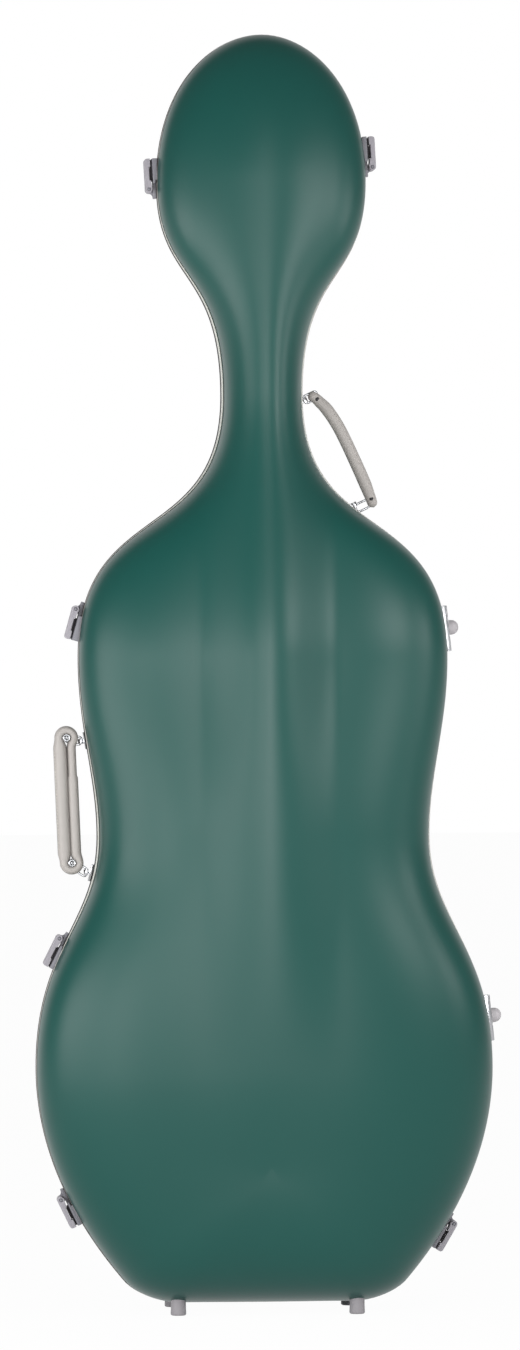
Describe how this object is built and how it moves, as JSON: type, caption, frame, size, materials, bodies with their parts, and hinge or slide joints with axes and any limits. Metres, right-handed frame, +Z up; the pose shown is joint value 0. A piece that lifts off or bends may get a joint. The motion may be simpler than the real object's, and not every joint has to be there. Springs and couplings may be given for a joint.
{
  "type": "cello hard case",
  "caption": "Hard case for a cello: hinged lid, draw latches, a carrying handle at the waist, a neck handle, feet, and a padded inside with bow holders.",
  "frame": {"origin": "middle of the bounding box on the floor that the feet stand on", "axes": "+Z up along the case's height, +Y from the lid towards the back shell, +X towards the hinges"},
  "size_m": [0.497, 0.274, 1.3481],
  "materials": {
    "shell": "satin green coat over a moulded composite shell",
    "rim": "pale grey satin closing profile",
    "seal": "black matte sealing strip",
    "lining": "dark grey plush on soft foam",
    "latch": "light grey coated lever",
    "latch_base": "mid grey coated plate",
    "steel": "bright plated steel",
    "foot": "grey matte rubber",
    "leather": "warm light grey padded leather",
    "pad": "dark plush cushion",
    "plastic": "black moulded plastic"
  },
  "bodies": {
    "back": {"back_shell": "shell", "back_lining": "lining", "back_rim": "rim", "seam_seal": "seal", "latch_base_head_left": "latch_base", "latch_base_head_right": "latch_base", "latch_base_upper_left": "latch_base", "latch_base_lower_left": "latch_base", "latch_base_base_left": "latch_base", "latch_base_base_right": "latch_base", "hinge_back_leaf_upper": "steel", "hinge_back_leaf_lower": "steel", "hinge_pin_upper": "steel", "hinge_pin_lower": "steel", "side_foot_upper": "foot", "side_foot_lower": "foot", "back_foot_left": "foot", "back_foot_right": "foot", "carry_handle_bracket_upper": "steel", "carry_handle_bracket_lower": "steel", "neck_handle_bracket_upper": "steel", "neck_handle_bracket_lower": "steel", "base_pad_left": "pad", "base_pad_right": "pad", "shoulder_pad_left": "pad", "shoulder_pad_right": "pad", "neck_cradle": "pad"},
    "lid": {"lid_shell": "shell", "lid_lining": "lining", "lid_rim": "rim", "latch_keeper_head_left": "latch_base", "latch_keeper_head_right": "latch_base", "latch_keeper_upper_left": "latch_base", "latch_keeper_lower_left": "latch_base", "latch_keeper_base_left": "latch_base", "latch_keeper_base_right": "latch_base", "hinge_lid_leaf_upper": "steel", "hinge_lid_leaf_lower": "steel", "lid_foot_left": "foot", "lid_foot_right": "foot", "bow_boss_left": "plastic", "bow_boss_right": "plastic", "bow_pocket_left": "lining", "bow_pocket_right": "lining"},
    "lever_head_left": {"latch_lever_head_left": "latch"},
    "lever_head_right": {"latch_lever_head_right": "latch"},
    "lever_upper_left": {"latch_lever_upper_left": "latch"},
    "lever_lower_left": {"latch_lever_lower_left": "latch"},
    "lever_base_left": {"latch_lever_base_left": "latch"},
    "lever_base_right": {"latch_lever_base_right": "latch"},
    "carry_handle": {"carry_handle_grip": "leather", "carry_handle_strap": "leather", "carry_handle_loop_upper": "steel", "carry_handle_loop_lower": "steel"},
    "neck_handle": {"neck_handle_grip": "leather", "neck_handle_loop_upper": "steel", "neck_handle_loop_lower": "steel"},
    "toggle_left": {"bow_toggle_left": "plastic"},
    "toggle_right": {"bow_toggle_right": "plastic"}
  },
  "joints": [
    {"name": "lid_hinge", "type": "hinge", "parent": "back", "child": "lid", "pos_m": [0.2339, -0.013, 0.308], "axis": [-0.1063, 0, 0.9943], "range_deg": [0, 110]},
    {"name": "lever_head_left_pivot", "type": "hinge", "parent": "back", "child": "lever_head_left", "pos_m": [-0.12354, -0.013, 1.18287], "axis": [0, -1, 0], "range_deg": [0, 95]},
    {"name": "lever_head_right_pivot", "type": "hinge", "parent": "back", "child": "lever_head_right", "pos_m": [0.11222, -0.013, 1.20665], "axis": [0, 1, 0], "range_deg": [0, 95]},
    {"name": "lever_upper_left_pivot", "type": "hinge", "parent": "back", "child": "lever_upper_left", "pos_m": [-0.20263, -0.013, 0.74111], "axis": [0, 1, 0], "range_deg": [0, 95]},
    {"name": "lever_lower_left_pivot", "type": "hinge", "parent": "back", "child": "lever_lower_left", "pos_m": [-0.22117, -0.013, 0.39461], "axis": [0, 1, 0], "range_deg": [0, 95]},
    {"name": "lever_base_left_pivot", "type": "hinge", "parent": "back", "child": "lever_base_left", "pos_m": [-0.22055, -0.013, 0.11925], "axis": [0, 1, 0], "range_deg": [0, 95]},
    {"name": "lever_base_right_pivot", "type": "hinge", "parent": "back", "child": "lever_base_right", "pos_m": [0.19413, -0.013, 0.09055], "axis": [0, -1, 0], "range_deg": [0, 95]},
    {"name": "carry_handle_swing", "type": "hinge", "parent": "back", "child": "carry_handle", "pos_m": [-0.19648, 0.006, 0.60165], "axis": [-0.0403, 0, 0.9992], "range_deg": [-45, 45]},
    {"name": "neck_handle_swing", "type": "hinge", "parent": "back", "child": "neck_handle", "pos_m": [0.0414, 0.006, 0.96143], "axis": [-0.4273, 0, 0.9041], "range_deg": [-45, 45]},
    {"name": "toggle_left_turn", "type": "hinge", "parent": "lid", "child": "toggle_left", "pos_m": [-0.10343, -0.09718, 0.21385], "axis": [0, 1, 0], "continuous": true},
    {"name": "toggle_right_turn", "type": "hinge", "parent": "lid", "child": "toggle_right", "pos_m": [0.09256, -0.09718, 0.21385], "axis": [0, 1, 0], "continuous": true}
  ]
}
